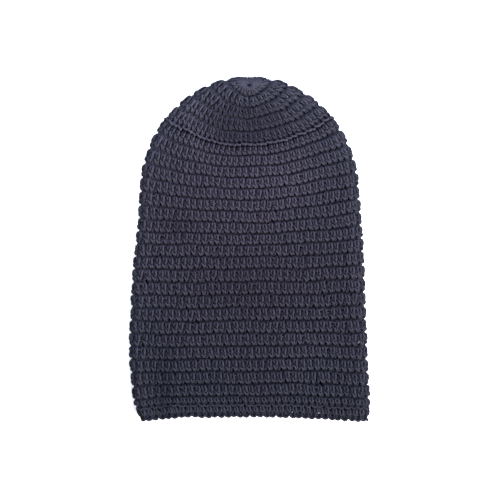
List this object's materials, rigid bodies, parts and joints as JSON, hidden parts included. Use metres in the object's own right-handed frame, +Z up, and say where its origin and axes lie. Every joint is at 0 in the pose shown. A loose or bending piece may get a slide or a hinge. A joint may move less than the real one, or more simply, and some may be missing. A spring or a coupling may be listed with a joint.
{
  "type": "slouchy beanie",
  "caption": "Slouchy crocheted beanie lying flat: a rounded crown, a long tube of ribbed rounds and a short edging round an open mouth.",
  "frame": {"origin": "on the surface that the hat lies on, under the middle of its bounding box", "axes": "+Y from the open mouth to the crown, +Z up out of the surface, +X to the right seen from above with the crown away"},
  "size_m": [0.2224, 0.317, 0.0199],
  "materials": {
    "yarn": "crocheted plied yarn, matt with a faint bloom of loose fibres, dark navy-charcoal"
  },
  "bodies": {
    "root": {"crown": "yarn", "body": "yarn", "brim": "yarn"}
  },
  "joints": []
}
